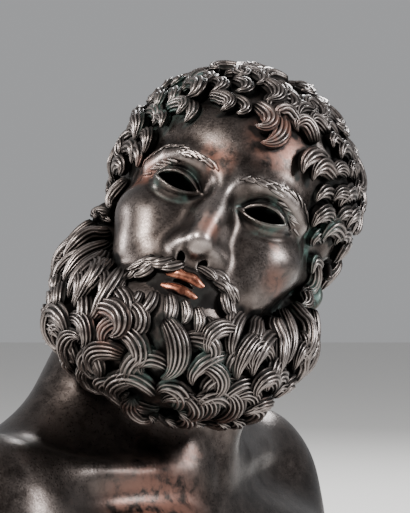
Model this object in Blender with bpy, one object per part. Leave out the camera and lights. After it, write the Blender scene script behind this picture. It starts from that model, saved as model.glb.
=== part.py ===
"""An ancient bronze bust of a bearded man, head turned and tilted back, cut flat below the shoulders.

The cast bronze is one piece. Its lips are two copper pieces let into it, and its eyes are lost, so their
sockets are empty. Metres, +Z up, origin at the middle of the flat underside. Run it in Blender 4.5.

The carved form is a signed distance field: each bone, muscle and lock of hair is an ellipsoid or a rounded
cone, blended into its neighbours. OpenVDB, which Blender ships with, turns the field into a mesh.
"""

import math

import bmesh
import bpy
import numpy as np
import openvdb

# The bust, in metres
PIT_HEIGHT = 0.150  # underside to the pit of the neck
SHOULDER_WIDTH = 0.440
CHEST_DEPTH = 0.216
NECK_RADIUS = 0.060
HEAD = 0.232  # crown to chin, under the hair
SOCKET_DEPTH = 0.032  # how far an empty eye socket runs in from the lids

# The middle of the head, between the ears, from the pit of the neck
HEAD_ACROSS = 0.052
HEAD_BACK = -0.006
HEAD_ABOVE_PIT = 0.156

# Pose, in degrees. The viewer stands at -Y.
CHEST_TURN = 58.0
HEAD_TURN = -5.0
HEAD_ROLL = 23.0
HEAD_PITCH = -15.0

# Locks of hair and beard, in metres. The gap is between one root and the next.
HAIR_GAP, HAIR_LENGTH, HAIR_WIDTH, HAIR_RISE = 0.0138, 0.032, 0.0136, 0.0070
BEARD_GAP, BEARD_LENGTH, BEARD_WIDTH, BEARD_RISE = 0.0162, 0.039, 0.0156, 0.0086
MOUSTACHE_LENGTH, MOUSTACHE_WIDTH, MOUSTACHE_RISE = 0.0185, 0.0086, 0.0040
TUFT_LENGTH, TUFT_WIDTH, TUFT_RISE = 0.023, 0.0098, 0.0048
LOCK_STATIONS = 9

# Copper lips, in metres
LIP_HALF_WIDTH = 0.0255
UPPER_LIP = 0.0078  # its height at the middle
LOWER_LIP = 0.0096
LIP_PART = 0.0014  # between the two lips
LIP_FIT = 0.0003  # the gap between each lip and the bronze round it

# Meshing
VOXEL = 0.0026
BRONZE_TRIANGLES = 8500
BLOCK = 6  # voxels along one side of a block that is skipped where no surface is near
FLOOR_MARGIN = 0.008  # the field runs on this far below the flat cut

MODEL_HEAD = 0.232  # the head's own numbers below are for a head of this height


def turn_x(degrees):
    c, s = math.cos(math.radians(degrees)), math.sin(math.radians(degrees))
    return np.array(((1, 0, 0), (0, c, -s), (0, s, c)))


def turn_y(degrees):
    c, s = math.cos(math.radians(degrees)), math.sin(math.radians(degrees))
    return np.array(((c, 0, s), (0, 1, 0), (-s, 0, c)))


def turn_z(degrees):
    c, s = math.cos(math.radians(degrees)), math.sin(math.radians(degrees))
    return np.array(((c, -s, 0), (s, c, 0), (0, 0, 1)))


CHEST_AXES = turn_z(CHEST_TURN)
HEAD_AXES = turn_y(HEAD_ROLL) @ turn_x(HEAD_PITCH) @ turn_z(HEAD_TURN)
HEAD_MIDDLE = np.array((HEAD_ACROSS, HEAD_BACK, PIT_HEIGHT + HEAD_ABOVE_PIT))


def to_head(points):
    """World points in the head's frame: x to its left, y back, z up, at the model head's size."""
    return (points - HEAD_MIDDLE) @ HEAD_AXES * (MODEL_HEAD / HEAD)


def from_head(points):
    return np.asarray(points) * (HEAD / MODEL_HEAD) @ HEAD_AXES.T + HEAD_MIDDLE


def to_chest(points):
    return points @ CHEST_AXES


def from_chest(points):
    return np.asarray(points) @ CHEST_AXES.T


# Distances and blends


def smooth_min(a, b, blend):
    near = np.maximum(blend - np.abs(a - b), 0) / blend
    return np.minimum(a, b) - near * near * blend / 4


def smooth_max(a, b, blend):
    return -smooth_min(-a, -b, blend)


def ellipsoid(p, centre, radii, axes=None):
    q = p - np.array(centre)
    if axes is not None:
        q = q @ axes
    r = np.array(radii)
    near = np.linalg.norm(q / r, axis=-1)
    slope = np.linalg.norm(q / r**2, axis=-1) + 1e-9
    return near * (near - 1) / slope


def cone(p, a, b, radius_a, radius_b):
    """A rounded cone from a to b."""
    a, b = np.array(a), np.array(b)
    along = b - a
    t = np.clip((p - a) @ along / (along @ along), 0, 1)
    return np.linalg.norm(p - a - t[..., None] * along, axis=-1) - (radius_a + t * (radius_b - radius_a))


def chain(p, points, radii):
    """Rounded cones from point to point, joined end to end."""
    ends = zip(points, points[1:], radii, radii[1:])
    return np.minimum.reduce([cone(p, a, b, radius_a, radius_b) for a, b, radius_a, radius_b in ends])


def folded(p):
    """Both halves of a symmetric form laid on its +x side."""
    return np.stack((np.abs(p[..., 0]), p[..., 1], p[..., 2]), -1)


# The head, in its own frame


def skull_and_face(q):
    d = ellipsoid(q, (0, 0.008, 0.040), (0.0755, 0.095, 0.088))
    d = smooth_min(d, ellipsoid(q, (0, -0.034, 0.040), (0.0650, 0.0595, 0.058)), 0.020)
    d = smooth_min(d, ellipsoid(q, (0, -0.035, -0.022), (0.0625, 0.0545, 0.068)), 0.018)
    d = smooth_min(d, ellipsoid(q, (0, -0.046, -0.068), (0.0500, 0.0480, 0.040)), 0.018)
    cheekbone = ellipsoid(q, (0.0420, -0.0640, -0.0180), (0.0225, 0.0215, 0.0180))
    d = smooth_min(d, cheekbone, 0.020)
    d = smooth_min(d, cone(q, (0.050, -0.056, -0.013), (0.069, -0.012, -0.002), 0.0100, 0.0060), 0.018)
    cheek = ellipsoid(q, (0.0310, -0.0690, -0.0420), (0.0240, 0.0205, 0.0240))
    d = smooth_min(d, cheek, 0.018)
    muzzle = ellipsoid(q, (0, -0.0780, -0.0610), (0.0330, 0.0240, 0.0250))
    d = smooth_min(d, muzzle, 0.016)
    round_lips = ellipsoid(q, (0, -0.0960, -0.0650), (0.0270, 0.0085, 0.0135))
    return smooth_min(d, round_lips, 0.010)


def brows(q):
    points = [(0.0090, -0.0875, 0.0195), (0.0210, -0.0878, 0.0245), (0.0340, -0.0845, 0.0265)]
    points += [(0.0460, -0.0755, 0.0245), (0.0555, -0.0640, 0.0170)]
    return chain(q, points, [0.0050, 0.0054, 0.0054, 0.0050, 0.0040])


def nose(q):
    ridge = [(0, -0.0875, 0.0230), (0, -0.0975, 0.0010), (0, -0.1075, -0.0180), (0, -0.1125, -0.0325)]
    d = chain(q, ridge, [0.0080, 0.0074, 0.0076, 0.0082])
    d = smooth_min(d, ellipsoid(q, (0, -0.0925, -0.0200), (0.0140, 0.0170, 0.0260)), 0.008)
    wing = ellipsoid(q, (0.0108, -0.0970, -0.0370), (0.0080, 0.0125, 0.0082), turn_z(-14))
    d = smooth_min(d, wing, 0.012)
    return smooth_min(d, cone(q, (0, -0.1110, -0.0400), (0, -0.0980, -0.0455), 0.0036, 0.0042), 0.006)


def nostril(q):
    return ellipsoid(q, (0.0066, -0.1020, -0.0455), (0.0030, 0.0056, 0.0052), turn_z(20))


def lens(x, z, half_width, rise, drop):
    """An almond between two arcs that meet at plus and minus half_width."""
    above, below = ((half_width**2 - h**2) / (2 * h) for h in (rise, drop))
    return np.maximum(np.hypot(x, z + above) - (above + rise), np.hypot(x, z - below) - (below + drop))


def eyelids(q, d):
    """Lids round an empty eye, the fold above them, and the socket that runs in behind."""
    d = smooth_max(d, -ellipsoid(q, (0.0330, -0.1000, 0.0080), (0.0200, 0.0160, 0.0120)), 0.012)
    d = smooth_min(d, ellipsoid(q, (0.0325, -0.0780, 0.0065), (0.0168, 0.0135, 0.0130)), 0.005)
    eye = (q - np.array((0.0325, 0, 0.0065))) @ turn_y(-4)
    opening = lens(eye[..., 0], eye[..., 2], 0.0150, 0.0062, 0.0050)
    in_front = q[..., 1] + 0.060
    rim = np.maximum(np.hypot(opening - 0.0012, d) - 0.0009, in_front)
    d = smooth_min(d, rim, 0.0030)
    fold = np.abs(lens(eye[..., 0], eye[..., 2] - 0.0012, 0.0175, 0.0100, 0.0060))
    fold = np.maximum(np.hypot(fold, d) - 0.0010, np.maximum(0.002 - eye[..., 2], in_front))
    d = smooth_max(d, -fold, 0.0016)
    socket = np.maximum(opening + 0.0004, q[..., 1] + 0.0900 - SOCKET_DEPTH)
    return smooth_max(d, -socket, 0.0012)


def ear(q):
    axes = turn_z(24) @ turn_x(-12)
    e = (q - np.array((0.0770, 0.005, -0.010))) @ axes
    e = np.stack((e[..., 1], e[..., 2], e[..., 0]), -1)  # back, up, out
    angles = np.radians((150, 120, 90, 55, 20, -15, -50, -80))
    rim_back, rim_up = 0.0035 + 0.0160 * np.cos(angles), 0.002 + 0.0280 * np.sin(angles)
    rim = np.stack((rim_back, rim_up, np.full(8, 0.0068)), -1)
    d = ellipsoid(e, (0.002, 0.0, -0.001), (0.0165, 0.029, 0.0070))
    rim_radii = [0.0026, 0.0030, 0.0034, 0.0034, 0.0032, 0.0030, 0.0030, 0.0034]
    d = smooth_min(d, chain(e, list(rim), rim_radii), 0.003)
    inner_fold = [(0.000, 0.019, 0.005), (0.008, 0.010, 0.0055)]
    inner_fold += [(0.0095, 0.000, 0.0058), (0.006, -0.011, 0.0055)]
    d = smooth_min(d, chain(e, inner_fold, [0.0020, 0.0024, 0.0026, 0.0026]), 0.003)
    lobe = ellipsoid(e, (-0.0005, -0.0240, 0.003), (0.0075, 0.0085, 0.0046))
    d = smooth_min(d, lobe, 0.006)
    d = smooth_max(d, -ellipsoid(e, (-0.0035, -0.004, 0.0085), (0.0080, 0.0115, 0.0085)), 0.003)
    return smooth_min(d, ellipsoid(e, (-0.0125, -0.005, 0.0020), (0.0040, 0.0075, 0.0040)), 0.005)


def hairline(z):
    """How far back the hair starts at a height."""
    return np.interp(z, (-0.030, 0.020, 0.050, 0.070, 0.082), (-0.020, -0.036, -0.050, -0.070, -0.092))


def nape_line(y):
    return np.interp(y, (0.020, 0.034, 0.060), (-0.024, -0.046, -0.056))


def hair_bed(q):
    """The mass under the locks of the hair."""
    d = ellipsoid(q, (0, 0.006, 0.042), (0.0865, 0.0995, 0.0845))
    d = smooth_max(d, 0.6 * (hairline(q[..., 2]) + 0.003 - q[..., 1]), 0.012)
    d = smooth_max(d, 0.8 * (nape_line(q[..., 1]) - q[..., 2]), 0.012)
    round_ear = ellipsoid(q, (0.0900, 0.0040, -0.0120), (0.0280, 0.0230, 0.0340))
    return smooth_max(d, -round_ear, 0.008)


def beard_line(y):
    """How high up the cheek the beard starts, from the mouth back to the ear."""
    back = (-0.106, -0.090, -0.070, -0.050, -0.030, -0.012)
    return np.interp(y, back, (-0.074, -0.066, -0.054, -0.044, -0.030, -0.020))


def beard_bed(q):
    """The mass under the locks of the beard."""
    d = ellipsoid(q, (0, -0.0620, -0.0920), (0.0600, 0.0500, 0.0480))
    jaw = [(0.0720, -0.0060, -0.0180), (0.0680, -0.0240, -0.0560), (0.0440, -0.0480, -0.0900)]
    return smooth_min(d, chain(q, jaw, [0.0100, 0.0215, 0.0360]), 0.016)


def bare_head(p):
    """The head without its locks, at world points."""
    q = folded(to_head(p))
    d = skull_and_face(q)
    d = smooth_min(d, brows(q), 0.012)
    d = smooth_min(d, nose(q), 0.011)
    d = smooth_max(d, -nostril(q), 0.002)
    d = eyelids(q, d)
    d = smooth_min(d, hair_bed(q), 0.006)
    d = smooth_min(d, ear(q), 0.004)
    return smooth_min(d, beard_bed(q), 0.006) * (HEAD / MODEL_HEAD)


def lock_bed(p):
    """The smooth surface that locks are laid on."""
    q = folded(to_head(p))
    d = smooth_min(skull_and_face(q), hair_bed(q), 0.008)
    return smooth_min(d, beard_bed(q), 0.010) * (HEAD / MODEL_HEAD)


# Neck, shoulders and chest, in the chest's frame


def torso(p):
    q = to_chest(p)
    c = folded(q)
    pit, half, deep = PIT_HEIGHT, SHOULDER_WIDTH / 2, CHEST_DEPTH / 2
    d = ellipsoid(c, (0, 0.012, pit - 0.165), (0.76 * half, 1.05 * deep, 0.190))
    girdle = cone(c, (0, 0.020, pit - 0.034), (0.74 * half, 0.014, pit - 0.030), 0.048, 0.040)
    d = smooth_min(d, girdle, 0.050)
    deltoid = ellipsoid(c, (0.755 * half, 0.010, pit - 0.062), (0.245 * half, 0.058, 0.086))
    d = smooth_min(d, deltoid, 0.040)
    arm = cone(c, (0.77 * half, 0.012, pit - 0.080), (0.80 * half, 0.018, pit - 0.230), 0.048, 0.043)
    d = smooth_min(d, arm, 0.030)
    pectoral = ellipsoid(c, (0.36 * half, -0.46 * deep, pit - 0.105), (0.40 * half, 0.050, 0.064))
    armpit, near_arm = (0.38 * half, -0.56 * deep, pit - 0.100), (0.70 * half, -0.10 * deep, pit - 0.068)
    pectoral = smooth_min(pectoral, cone(c, armpit, near_arm, 0.032, 0.026), 0.040)
    d = smooth_min(d, pectoral, 0.030)
    collarbone = [(0.016, -0.045, pit - 0.008), (0.28 * half, -0.045, pit - 0.003)]
    collarbone += [(0.52 * half, -0.031, pit), (0.74 * half, -0.008, pit + 0.002)]
    d = smooth_min(d, chain(c, collarbone, [0.0070, 0.0062, 0.0062, 0.0070]), 0.024)
    shoulder_blade = ellipsoid(c, (0.36 * half, 0.54 * deep, pit - 0.085), (0.40 * half, 0.050, 0.100))
    d = smooth_min(d, shoulder_blade, 0.050)
    spine = cone(q, (0, 1.24 * deep, pit - 0.010), (0, 1.30 * deep, pit - 0.200), 0.012, 0.012)
    d = smooth_max(d, -spine, 0.034)
    breastbone = cone(q, (0, -0.94 * deep, pit - 0.060), (0, -1.16 * deep, pit - 0.200), 0.007, 0.007)
    return smooth_max(d, -breastbone, 0.024)


def neck(p):
    foot = from_chest((0, 0.020, PIT_HEIGHT - 0.020))
    d = cone(p, foot, from_head((0, 0.014, -0.030)), NECK_RADIUS + 0.004, NECK_RADIUS)
    nape = cone(p, from_head((0, 0.052, -0.015)), from_chest((0, 0.052, PIT_HEIGHT - 0.020)), 0.036, 0.046)
    d = smooth_min(d, nape, 0.030)
    for side in (-1, 1):
        high = from_head((side * 0.024, 0.046, -0.030))
        low = from_chest((side * 0.56 * SHOULDER_WIDTH / 2, 0.026, PIT_HEIGHT - 0.014))
        d = smooth_min(d, cone(p, high, low, 0.030, 0.026), 0.060)
    for side in (-1, 1):
        mastoid = from_head((side * 0.058, 0.018, -0.034))
        notch = from_chest((side * 0.014, -0.046, PIT_HEIGHT - 0.004))
        d = smooth_min(d, cone(p, mastoid, notch, 0.0150, 0.0080), 0.020)
    return d


def bare_bust(p):
    return smooth_min(smooth_min(torso(p), neck(p), 0.026), bare_head(p), 0.010)


# Locks of hair


def unit(v):
    return v / np.linalg.norm(v, axis=-1, keepdims=True)


def outward(field, p, step=0.0006):
    """The field's gradient, which points out of the surface."""
    steps = step * np.eye(3)
    return unit(np.stack([field(p + s) - field(p - s) for s in steps], -1))


def settled(field, p):
    """Points moved onto the field's surface."""
    for _ in range(4):
        p = p - field(p)[..., None] * outward(field, p)
    return p


def spread_directions(count):
    """Unit vectors spread evenly over a sphere."""
    k = np.arange(count) + 0.5
    z = 1 - 2 * k / count
    angle = k * math.pi * (3 - math.sqrt(5))
    ring = np.sqrt(1 - z * z)
    return np.stack((ring * np.cos(angle), ring * np.sin(angle), z), -1)


def cast_from_head(middle, directions, reach=0.20):
    """Where rays from a point in the head meet the locks' bed, found from outside, in the head's frame."""
    directions = directions @ HEAD_AXES.T
    p = from_head(middle) + directions * reach
    for _ in range(40):
        p = p - directions * lock_bed(p)[..., None] * 0.9
    return to_head(p)


def thinned(points, gap):
    """The first points, and each later one that is at least a gap from all that are kept."""
    kept = points[:1]
    for point in points[1:]:
        if np.min(np.sum((kept - point) ** 2, -1)) >= gap**2:
            kept = np.vstack((kept, point))
    return kept


def walk(field, roots, headings, lengths, turns):
    """Follows each lock over the surface. turns holds the angle it turns by at each station.
    Gives the points, headings and normals of every lock at every station."""
    p = settled(field, roots)
    t = headings
    track = []
    for k in range(turns.shape[1]):
        n = outward(field, p)
        t = unit(t - np.sum(t * n, -1, keepdims=True) * n)
        track.append((p, t, n))
        angle = turns[:, k, None]
        t = t * np.cos(angle) + np.cross(n, t) * np.sin(angle)
        p = settled(field, p + t * (lengths / (turns.shape[1] - 1))[:, None])
    return (np.stack(rows, 1) for rows in zip(*track))


def ear_share(q):
    """Distance from the ear's middle, seen from the side, as a share of the ear's own size."""
    return np.hypot((q[..., 1] - 0.006) / 0.020, (q[..., 2] + 0.012) / 0.032)


def hair_roots():
    """Where hair grows, in the head's frame, and which way it lies."""
    q = cast_from_head((0, 0.000, 0.025), spread_directions(6000))
    x, y, z = np.abs(q[:, 0]), q[:, 1], q[:, 2]
    behind = y - hairline(z)
    grows = (behind > 0) & (z > nape_line(y)) & ~((ear_share(q) < 1.15) & (x > 0.05))
    rows = np.argsort(behind[grows] > 0.004, kind="stable")
    q = thinned(q[grows][rows], HAIR_GAP)
    crown = np.array((0.006, 0.050, 0.118))
    flow = unit(q - crown)
    round_ear = np.where(q[:, 1:2] < -0.010, (0, -0.15, -1.0), (0, 0.95, -0.60))
    near = np.clip(2.3 - ear_share(q), 0, 1)[:, None] * (np.abs(q[:, :1]) > 0.05)
    return q, unit(flow * (1 - near) + round_ear * near), np.ones(len(q))


def beard_roots():
    """Where the beard grows, which way it lies, and how much it curls, which is less on the cheeks."""
    q = cast_from_head((0, -0.030, -0.055), spread_directions(6000))
    x, y, z = np.abs(q[:, 0]), q[:, 1], q[:, 2]
    below = beard_line(y) - z
    round_mouth = (x < 0.026) & (z > -0.082) & (y < -0.06)
    grows = (below > 0) & (y < 0.006) & ~round_mouth & ~((ear_share(q) < 1.15) & (x > 0.05))
    rows = np.argsort(below[grows] > 0.004, kind="stable")
    q = thinned(q[grows][rows], BEARD_GAP)
    flow = np.stack((5.5 * q[:, 0], np.full(len(q), -0.25), np.full(len(q), -1.0)), -1)
    cheek = np.clip((np.abs(q[:, 0]) - 0.034) / 0.014, 0, 1)
    curl = 1 - cheek * (1 - np.clip((beard_line(q[:, 1]) - q[:, 2]) / 0.018, 0.20, 1))
    return q, unit(flow), curl


def moustache_roots():
    """Two layers under the nose that part to the sides and run down past the corners of the mouth."""
    q, flow = [], []
    for side in (-1, 1):
        for share in np.linspace(0, 1, 3):
            q.append((side * (0.0305 + 0.0045 * share), -0.092, -0.0590 - 0.0170 * share))
            flow.append((side * (0.65 - 0.45 * share), 0.1, -1.0))
        for near, far, high, low in ((0.0120, 0.0300, -0.0515, -0.0555), (0.0035, 0.0265, -0.0480, -0.0490)):
            for share in np.linspace(0, 1, 4):
                q.append((side * (near + (far - near) * share), -0.104, high + (low - high) * share))
                flow.append((side * (1.0 - 0.15 * share), 0.2, -0.50 - 0.10 * share))
    return np.array(q), unit(np.array(flow)), np.ones(len(q))


def chin_tuft_roots():
    """A row below the lower lip that spreads over the chin."""
    q = np.array([(0.0085 * k, -0.100, -0.0775 - 0.0006 * k**2) for k in (-2.5, -1.5, -0.5, 0.5, 1.5, 2.5)])
    flow = np.stack((20 * q[:, 0], np.full(len(q), -0.1), np.full(len(q), -1.0)), -1)
    return q, unit(flow), np.ones(len(q))


def hook(stations):
    """Shares of a lock's whole turn: little at the root, most towards the tip."""
    share = (np.arange(stations) + 1.0) ** 1.3
    return share / share.sum()


def locks(roots, size, turn_range, seed, off_mouth=False):
    """Lays one lock from each root. size is length, width and rise.
    Gives each lock's points, headings and normals, and its width, rise and height over the bed."""
    q, flow, curl = roots
    rng = np.random.default_rng(seed)
    count = len(q)
    length, width, rise = size
    length = length * (1.25 - 0.25 * curl)
    drift = np.sin(38 * q[:, 2] + 21 * q[:, 1]) * np.sin(34 * q[:, 0] + 9 * q[:, 1])
    sign = np.where(drift + rng.uniform(-0.20, 0.20, count) < 0, -1.0, 1.0)
    turn = sign * curl * np.radians(rng.uniform(*turn_range, count))
    spread = np.radians(rng.uniform(-16, 16, count))
    scale = rng.uniform(0.86, 1.18, count)
    height = rise * rng.uniform(-0.20, 0.30, count)
    heading = flow @ HEAD_AXES.T
    points = from_head(q)
    normal = outward(lock_bed, points)
    heading = unit(heading - np.sum(heading * normal, -1, keepdims=True) * normal)
    start = (spread - 0.42 * turn)[:, None]
    heading = heading * np.cos(start) + np.cross(normal, heading) * np.sin(start)
    turns = turn[:, None] * hook(LOCK_STATIONS)[None]
    p, t, n = walk(lock_bed, points, heading, length * scale, turns)
    clear = clear_share(p, off_mouth)
    p, t, n = walk(lock_bed, points, heading, length * scale * clear, turns)
    kept = clear > 0.4
    return p[kept], t[kept], n[kept], (width * scale)[kept], (rise * scale)[kept], height[kept]


def clear_share(p, off_mouth):
    """How much of each lock's length stops short of the ears, and of the mouth where that is asked."""
    q = to_head(p)
    x, z = np.abs(q[..., 0]), q[..., 2]
    taken = (ear_share(q) < 0.95) & (x > 0.05)
    if off_mouth:
        taken |= (x < LIP_HALF_WIDTH + 0.006) & (z > -0.084) & (z < -0.046) & (q[..., 1] < -0.07)
    first = np.where(taken.any(1), taken.argmax(1), LOCK_STATIONS)
    return np.minimum((first - 0.5) / (LOCK_STATIONS - 1), 1)


def lock_profile(s):
    """Width, thickness and lift of a lock as shares of its own, at s from root 0 to tip 1."""
    close = np.clip((s - 0.62) / 0.38, 0, 1)
    width = (0.62 + 0.38 * np.sin(math.pi * np.minimum(1.1 * s, 1))) * (1 - 0.70 * close**1.6)
    thickness = (0.50 + 0.50 * np.sin(math.pi * np.minimum(0.15 + 0.8 * s, 1))) * (1 - 0.35 * close)
    lift = 0.05 + 0.50 * s
    return width, thickness, lift


def add_locks(values, low, groups):
    """Adds every lock to the grid of distances, as a row of ellipsoids."""
    width_share, thick_share, lift_share = lock_profile(np.linspace(0, 1, LOCK_STATIONS))
    for p, t, n, widths, rises, heights in groups:
        for lock in range(len(p)):
            spacing = np.linalg.norm(p[lock, 1] - p[lock, 0])
            for k in range(LOCK_STATIONS):
                radii = (0.80 * spacing, 0.5 * widths[lock] * width_share[k], rises[lock] * thick_share[k])
                centre = p[lock, k] + n[lock, k] * (rises[lock] * lift_share[k] + heights[lock])
                axes = np.stack((t[lock, k], np.cross(n[lock, k], t[lock, k]), n[lock, k]), -1)
                reach = max(radii) + 2 * VOXEL
                first = np.maximum(np.floor((centre - reach - low) / VOXEL).astype(int), 0)
                last = np.minimum(np.ceil((centre + reach - low) / VOXEL).astype(int), values.shape)
                part = tuple(slice(a, b) for a, b in zip(first, last))
                sides = [low[i] + VOXEL * (np.arange(first[i], last[i]) + 0.5) for i in range(3)]
                local = np.stack(np.meshgrid(*sides, indexing="ij"), -1)
                values[part] = np.minimum(values[part], ellipsoid(local, centre, radii, axes))


# From field to mesh


def sampled(field, low, high):
    """The field on a grid, worked out only in blocks that the surface may cross."""
    block = VOXEL * BLOCK
    counts = np.ceil((high - low) / block).astype(int)
    sides = [low[i] + block * (np.arange(counts[i]) + 0.5) for i in range(3)]
    rough = field(np.stack(np.meshgrid(*sides, indexing="ij"), -1))
    values = np.sign(rough) * block
    for axis in range(3):
        values = np.repeat(values, BLOCK, axis)
    inside = np.stack(np.meshgrid(*[np.arange(BLOCK)] * 3, indexing="ij"), -1).reshape(-1, 3)
    crossed = np.argwhere(np.abs(rough) < 1.5 * block)
    cells = (crossed[:, None] * BLOCK + inside[None]).reshape(-1, 3)
    values[tuple(cells.T)] = field(low + VOXEL * (cells + 0.5))
    return values


def fill_corners(values):
    """Fills a cell where two inside cells meet only along an edge, which four faces would share."""
    for _ in range(8):
        filled = 0
        for a, b in ((0, 1), (0, 2), (1, 2)):
            planes = np.moveaxis(values, (a, b), (0, 1))
            for near, far in ((planes[:-1], planes[1:]), (planes[1:], planes[:-1])):
                crossed = (near[:, :-1] < 0) & (far[:, 1:] < 0) & (near[:, 1:] >= 0) & (far[:, :-1] >= 0)
                near[:, 1:][crossed] = -0.05 * VOXEL
                filled += np.count_nonzero(crossed)
        if not filled:
            return


def mesh_from(values, low, name):
    fill_corners(values)
    grid = openvdb.FloatGrid(float(values.max()))
    grid.copyFromArray(values.astype(np.float32), tolerance=0.0)
    grid.transform = openvdb.createLinearTransform(voxelSize=VOXEL)
    points, quads = grid.convertToQuads(0.0)
    mesh = bpy.data.meshes.new(name)
    mesh.from_pydata((points + low + VOXEL / 2).tolist(), [], quads.tolist())
    part_pinches(mesh)
    return mesh


def part_sheets(verts):
    """Gives each sheet its own vertex wherever two sheets meet at a point, and draws the two apart."""
    for vert in verts:
        sheets = bmesh.utils.vert_separate(vert, [])
        for corner in sheets if len(sheets) > 1 else ():
            around = [edge.other_vert(corner).co for edge in corner.link_edges]
            corner.co = corner.co.lerp(sum(around[1:], around[0]) / len(around), 0.25)


def part_pinches(mesh):
    bm = bmesh.new()
    bm.from_mesh(mesh)
    part_sheets([v for v in bm.verts if len(v.link_faces) >= 6])
    bm.to_mesh(mesh)
    bm.free()


def mend_shared_edges(bm):
    """Closes up any edge that two sheets came to share when the shape was cut."""
    bmesh.ops.remove_doubles(bm, verts=bm.verts[:], dist=1e-5)
    for _ in range(12):
        shared = [edge for edge in bm.edges if len(edge.link_faces) > 2]
        if not shared:
            break
        bmesh.ops.collapse(bm, edges=shared[:1])
    part_sheets([v for v in bm.verts if not v.is_manifold])


def keep_largest_body(bm):
    """Drops any sealed pocket or loose speck, such as a gap that locks close off."""
    left = set(bm.verts)
    bodies = []
    while left:
        body, front = set(), [left.pop()]
        while front:
            vert = front.pop()
            body.add(vert)
            for edge in vert.link_edges:
                other = edge.other_vert(vert)
                if other in left:
                    left.remove(other)
                    front.append(other)
        bodies.append(body)
    bodies.sort(key=len)
    for body in bodies[:-1]:
        bmesh.ops.delete(bm, geom=list(body), context="VERTS")


def cut_flat(bm):
    """Cuts the form flat at the underside and closes it there."""
    everything = bm.verts[:] + bm.edges[:] + bm.faces[:]
    plane = {"plane_co": (0, 0, 0), "plane_no": (0, 0, -1)}
    cut = bmesh.ops.bisect_plane(bm, geom=everything, clear_outer=True, **plane)
    rim = [e for e in cut["geom_cut"] if isinstance(e, bmesh.types.BMEdge)]
    bmesh.ops.contextual_create(bm, geom=rim)


# Lips


def mouth_line(u):
    """The line where the lips part, at u from -1 to 1 across the mouth."""
    height = -0.0640 + 0.0008 * np.cos(2 * math.pi * u)
    return np.stack((LIP_HALF_WIDTH * u, -0.1030 + 0.0110 * u**2, height), -1)


def swept(name, path, high, deep):
    """A closed rod with an oval section of these half heights and half depths at each point of the path."""
    along = unit(np.gradient(path, axis=0))
    forward = unit(np.cross(along, (0, 0, 1)))
    angles = np.arange(10) * math.tau / 10
    ring = forward[:, None] * deep[:, None, None] * np.cos(angles)[None, :, None]
    ring = ring + np.array((0, 0, 1)) * high[:, None, None] * np.sin(angles)[None, :, None]
    points = from_head((path[:, None] + ring).reshape(-1, 3))
    faces = [tuple(range(9, -1, -1)), tuple(10 * (len(path) - 1) + k for k in range(10))]
    for station in range(len(path) - 1):
        a = 10 * station
        faces += [(a + k, a + (k + 1) % 10, a + 10 + (k + 1) % 10, a + 10 + k) for k in range(10)]
    mesh = bpy.data.meshes.new(name)
    mesh.from_pydata(points.tolist(), [], faces)
    bm = bmesh.new()
    bm.from_mesh(mesh)
    bmesh.ops.recalc_face_normals(bm, faces=bm.faces[:])
    bm.to_mesh(mesh)
    bm.free()
    return bpy.data.objects.new(name, mesh)


def lip(name, upper, grow=0.0):
    u = np.linspace(-0.985, 0.985, 13)
    if upper:
        bow = 0.16 * np.exp(-(((np.abs(u) - 0.26) / 0.14) ** 2)) - 0.10 * np.exp(-((u / 0.10) ** 2))
        high = UPPER_LIP / 2 * (1 - u**2) ** 0.75 * (1 + bow) + 0.0006
        deep = 0.0046 * np.sqrt(1 - u**2) + 0.0008
    else:
        high = LOWER_LIP / 2 * (1 - u**2) ** 0.85 + 0.0006
        deep = 0.0056 * np.sqrt(1 - u**2) + 0.0008
    path = mouth_line(u)
    path[:, 2] += (1 if upper else -1) * (LIP_PART / 2 + high)
    tip = np.array((grow, 0, 0))
    path[0] -= tip
    path[-1] += tip
    return swept(name, path, high + grow, deep + grow)


def mouth_gap():
    """The opening behind and between the lips."""
    u = np.linspace(-0.93, 0.93, 13)
    path = mouth_line(u)
    path[:, 1] += 0.0045
    return swept("mouth gap", path, 0.0026 * np.sqrt(1 - u**2) + 0.0006, 0.0090 * np.sqrt(1 - u**2) + 0.0010)


def cut_away(body, tool):
    """Takes the tool's shape out of the body."""
    bpy.context.scene.collection.objects.link(tool)
    boolean = body.modifiers.new("cut", "BOOLEAN")
    boolean.operation = "DIFFERENCE"
    boolean.solver = "EXACT"
    boolean.object = tool
    replace_with_evaluated(body)
    bpy.data.objects.remove(tool)


def replace_with_evaluated(body):
    bpy.context.view_layer.update()
    shown = bpy.data.meshes.new_from_object(body.evaluated_get(bpy.context.evaluated_depsgraph_get()))
    body.modifiers.clear()
    body.data = shown


# The pieces


def material(name, colour, roughness):
    metal = bpy.data.materials.new(name)
    metal.use_nodes = True
    shader = metal.node_tree.nodes["Principled BSDF"]
    shader.inputs["Base Color"].default_value = (*colour, 1)
    shader.inputs["Metallic"].default_value = 1.0
    shader.inputs["Roughness"].default_value = roughness
    return metal


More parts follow.
